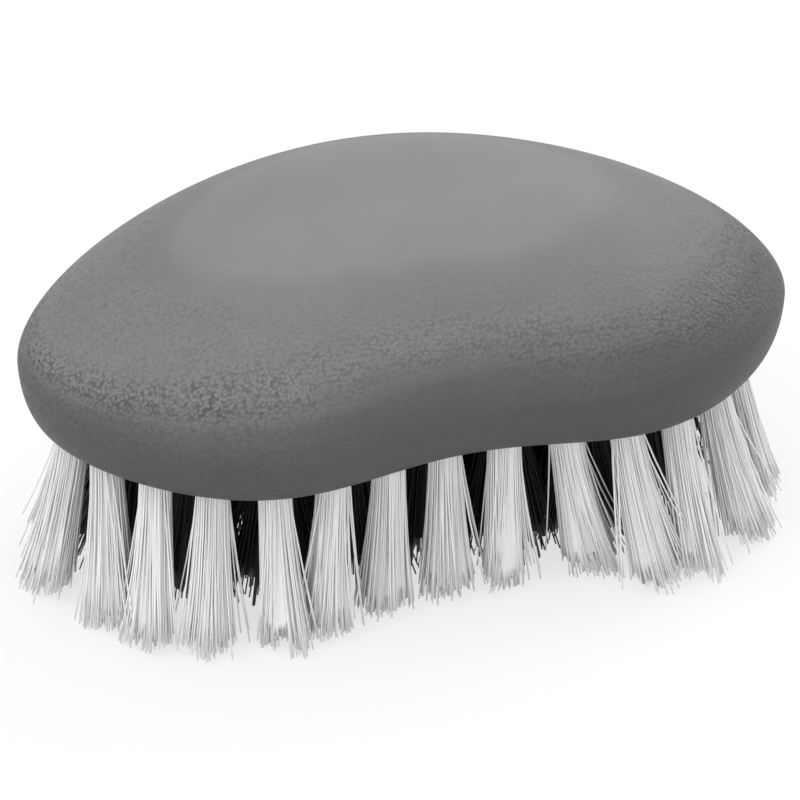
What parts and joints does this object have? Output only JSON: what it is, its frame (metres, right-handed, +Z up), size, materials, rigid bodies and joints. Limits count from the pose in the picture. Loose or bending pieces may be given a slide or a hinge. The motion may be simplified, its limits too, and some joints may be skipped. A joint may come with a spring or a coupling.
{
  "type": "laundry brush",
  "caption": "Kidney-shaped palm laundry brush: domed grained grip shell on a bristle block, with a pale outer row and dark inner rows of anchored bristle tufts.",
  "frame": {"origin": "on the surface that the bristle tips stand on, under the middle of the brush's box", "axes": "+X along the brush's length, +Y from the waisted front to the back, +Z up through the crown of the grip"},
  "size_m": [0.1354, 0.0868, 0.0615],
  "materials": {
    "grip_plastic": "fine pebble grain, semi-matt",
    "block_plastic": "smooth, semi-matt",
    "pale_bristle": "satin extruded filament",
    "dark_bristle": "satin extruded filament",
    "anchor_metal": "bright flat wire"
  },
  "bodies": {
    "root": {"handle_shell": "grip_plastic", "bristle_block": "block_plastic", "outer_bristle_row": "pale_bristle", "middle_bristle_row": "dark_bristle", "inner_bristle_row": "dark_bristle", "outer_anchor_01": "anchor_metal", "outer_anchor_02": "anchor_metal", "outer_anchor_03": "anchor_metal", "outer_anchor_04": "anchor_metal", "outer_anchor_05": "anchor_metal", "outer_anchor_06": "anchor_metal", "outer_anchor_07": "anchor_metal", "outer_anchor_08": "anchor_metal", "outer_anchor_09": "anchor_metal", "outer_anchor_10": "anchor_metal", "outer_anchor_11": "anchor_metal", "outer_anchor_12": "anchor_metal", "outer_anchor_13": "anchor_metal", "outer_anchor_14": "anchor_metal", "outer_anchor_15": "anchor_metal", "outer_anchor_16": "anchor_metal", "outer_anchor_17": "anchor_metal", "outer_anchor_18": "anchor_metal", "outer_anchor_19": "anchor_metal", "outer_anchor_20": "anchor_metal", "outer_anchor_21": "anchor_metal", "outer_anchor_22": "anchor_metal", "outer_anchor_23": "anchor_metal", "outer_anchor_24": "anchor_metal", "outer_anchor_25": "anchor_metal", "outer_anchor_26": "anchor_metal", "outer_anchor_27": "anchor_metal", "outer_anchor_28": "anchor_metal", "middle_anchor_01": "anchor_metal", "middle_anchor_02": "anchor_metal", "middle_anchor_03": "anchor_metal", "middle_anchor_04": "anchor_metal", "middle_anchor_05": "anchor_metal", "middle_anchor_06": "anchor_metal", "middle_anchor_07": "anchor_metal", "middle_anchor_08": "anchor_metal", "middle_anchor_09": "anchor_metal", "middle_anchor_10": "anchor_metal", "middle_anchor_11": "anchor_metal", "middle_anchor_12": "anchor_metal", "middle_anchor_13": "anchor_metal", "middle_anchor_14": "anchor_metal", "middle_anchor_15": "anchor_metal", "middle_anchor_16": "anchor_metal", "inner_anchor_01": "anchor_metal", "inner_anchor_02": "anchor_metal", "inner_anchor_03": "anchor_metal", "inner_anchor_04": "anchor_metal", "inner_anchor_05": "anchor_metal", "inner_anchor_06": "anchor_metal", "inner_anchor_07": "anchor_metal", "inner_anchor_08": "anchor_metal", "inner_anchor_09": "anchor_metal", "inner_anchor_10": "anchor_metal"}
  },
  "joints": []
}
